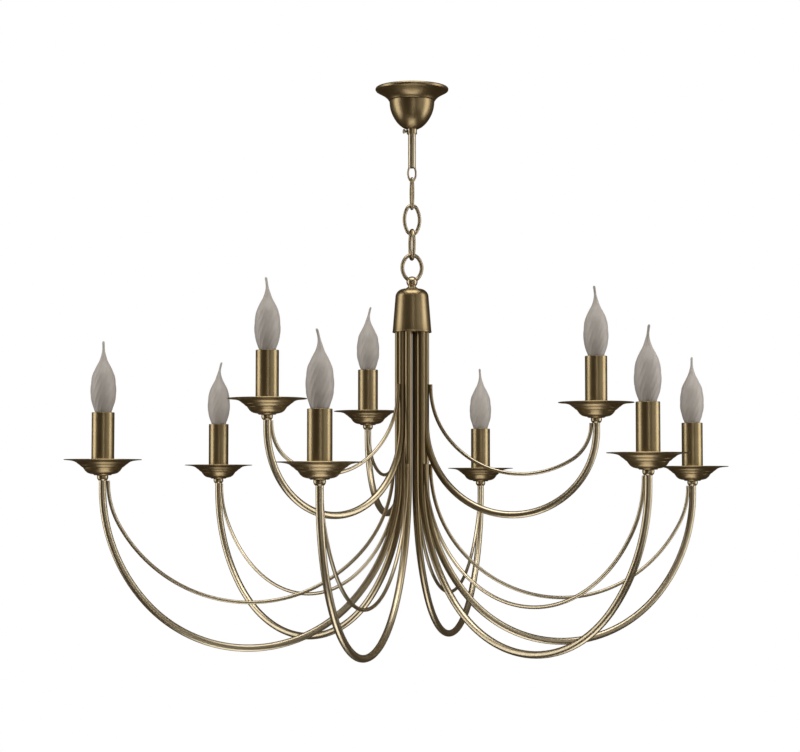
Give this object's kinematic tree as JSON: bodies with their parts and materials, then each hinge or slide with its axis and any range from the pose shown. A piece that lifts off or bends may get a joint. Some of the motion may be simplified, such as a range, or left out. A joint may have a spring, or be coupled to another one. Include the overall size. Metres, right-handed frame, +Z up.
{
  "type": "candle chandelier",
  "caption": "Candle-style chandelier with tiers of swept tube arms, drip pans, sleeves and flame bulbs, hung from a ceiling canopy on a stem and a short chain.",
  "frame": {"origin": "centre of the ceiling face, midway between the bracket's two ceiling screws", "axes": "+Z up along the stem and the hub's axis, +X along the ceiling bracket"},
  "size_m": [0.9754, 0.859, 0.8008],
  "materials": {
    "spun_brass": "aged satin, spun",
    "tube_brass": "aged satin, drawn",
    "cast_brass": "aged satin, cast and turned",
    "frosted_glass": "frosted, fluted",
    "zinc_steel": "zinc plated",
    "holder_plastic": "moulded phenolic",
    "wire_insulation": "extruded insulation"
  },
  "bodies": {
    "ceiling_mount": {"ceiling_bracket": "zinc_steel", "stem_tube": "tube_brass"},
    "canopy_shell": {"canopy": "spun_brass", "grip_collar": "cast_brass"},
    "screw": {"thumb_screw": "cast_brass"},
    "link_1": {"chain_link_1": "cast_brass"},
    "link_2": {"chain_link_2": "cast_brass"},
    "link_3": {"chain_link_3": "cast_brass"},
    "ring": {"chain_ring": "cast_brass"},
    "hub": {"hub_eye": "cast_brass", "hub_cap": "spun_brass", "hub_plate": "cast_brass", "wiring": "wire_insulation", "lower_arm_1": "tube_brass", "lower_arm_2": "tube_brass", "lower_arm_3": "tube_brass", "lower_arm_4": "tube_brass", "lower_arm_5": "tube_brass", "lower_arm_6": "tube_brass", "upper_arm_1": "tube_brass", "upper_arm_2": "tube_brass", "upper_arm_3": "tube_brass", "lower_rod_1": "tube_brass", "lower_rod_2": "tube_brass", "lower_rod_3": "tube_brass", "lower_rod_4": "tube_brass", "lower_rod_5": "tube_brass", "lower_rod_6": "tube_brass", "upper_rod_1": "tube_brass", "upper_rod_2": "tube_brass", "upper_rod_3": "tube_brass", "candle_fixings": "cast_brass", "lampholders": "holder_plastic", "lower_pan_1": "spun_brass", "lower_pan_2": "spun_brass", "lower_pan_3": "spun_brass", "lower_pan_4": "spun_brass", "lower_pan_5": "spun_brass", "lower_pan_6": "spun_brass", "upper_pan_1": "spun_brass", "upper_pan_2": "spun_brass", "upper_pan_3": "spun_brass", "lower_sleeve_1": "tube_brass", "lower_sleeve_2": "tube_brass", "lower_sleeve_3": "tube_brass", "lower_sleeve_4": "tube_brass", "lower_sleeve_5": "tube_brass", "lower_sleeve_6": "tube_brass", "upper_sleeve_1": "tube_brass", "upper_sleeve_2": "tube_brass", "upper_sleeve_3": "tube_brass"},
    "lower_bulb_1_body": {"lower_bulb_1": "frosted_glass"},
    "lower_bulb_2_body": {"lower_bulb_2": "frosted_glass"},
    "lower_bulb_3_body": {"lower_bulb_3": "frosted_glass"},
    "lower_bulb_4_body": {"lower_bulb_4": "frosted_glass"},
    "lower_bulb_5_body": {"lower_bulb_5": "frosted_glass"},
    "lower_bulb_6_body": {"lower_bulb_6": "frosted_glass"},
    "upper_bulb_1_body": {"upper_bulb_1": "frosted_glass"},
    "upper_bulb_2_body": {"upper_bulb_2": "frosted_glass"},
    "upper_bulb_3_body": {"upper_bulb_3": "frosted_glass"}
  },
  "joints": [
    {"name": "canopy_slide", "type": "slide", "parent": "ceiling_mount", "child": "canopy_shell", "axis": [0, 0, -1], "range_m": [0, 0.038]},
    {"name": "screw_turn", "type": "hinge", "parent": "canopy_shell", "child": "screw", "pos_m": [0, 0, -0.0635], "axis": [-1, 0, 0], "range_deg": [0, 630]},
    {"name": "link_1_swing", "type": "hinge", "parent": "ceiling_mount", "child": "link_1", "pos_m": [0, 0, -0.1347], "axis": [1, 0, 0], "range_deg": [-10, 10]},
    {"name": "link_2_swing", "type": "hinge", "parent": "link_1", "child": "link_2", "pos_m": [0, 0, -0.1751], "axis": [0, 1, 0], "range_deg": [-10, 10]},
    {"name": "link_3_swing", "type": "hinge", "parent": "link_2", "child": "link_3", "pos_m": [0, 0, -0.2115], "axis": [1, 0, 0], "range_deg": [-10, 10]},
    {"name": "ring_swing", "type": "hinge", "parent": "link_3", "child": "ring", "pos_m": [0, 0, -0.2472], "axis": [0, 1, 0], "range_deg": [-10, 10]},
    {"name": "hub_swing", "type": "hinge", "parent": "ring", "child": "hub", "pos_m": [0, 0, -0.2783], "axis": [1, 0, 0], "range_deg": [-10, 10]},
    {"name": "lower_bulb_1_lift", "type": "slide", "parent": "hub", "child": "lower_bulb_1_body", "axis": [0, 0, 1], "range_m": [0, 0.032]},
    {"name": "lower_bulb_2_lift", "type": "slide", "parent": "hub", "child": "lower_bulb_2_body", "axis": [0, 0, 1], "range_m": [0, 0.032]},
    {"name": "lower_bulb_3_lift", "type": "slide", "parent": "hub", "child": "lower_bulb_3_body", "axis": [0, 0, 1], "range_m": [0, 0.032]},
    {"name": "lower_bulb_4_lift", "type": "slide", "parent": "hub", "child": "lower_bulb_4_body", "axis": [0, 0, 1], "range_m": [0, 0.032]},
    {"name": "lower_bulb_5_lift", "type": "slide", "parent": "hub", "child": "lower_bulb_5_body", "axis": [0, 0, 1], "range_m": [0, 0.032]},
    {"name": "lower_bulb_6_lift", "type": "slide", "parent": "hub", "child": "lower_bulb_6_body", "axis": [0, 0, 1], "range_m": [0, 0.032]},
    {"name": "upper_bulb_1_lift", "type": "slide", "parent": "hub", "child": "upper_bulb_1_body", "axis": [0, 0, 1], "range_m": [0, 0.032]},
    {"name": "upper_bulb_2_lift", "type": "slide", "parent": "hub", "child": "upper_bulb_2_body", "axis": [0, 0, 1], "range_m": [0, 0.032]},
    {"name": "upper_bulb_3_lift", "type": "slide", "parent": "hub", "child": "upper_bulb_3_body", "axis": [0, 0, 1], "range_m": [0, 0.032]}
  ]
}
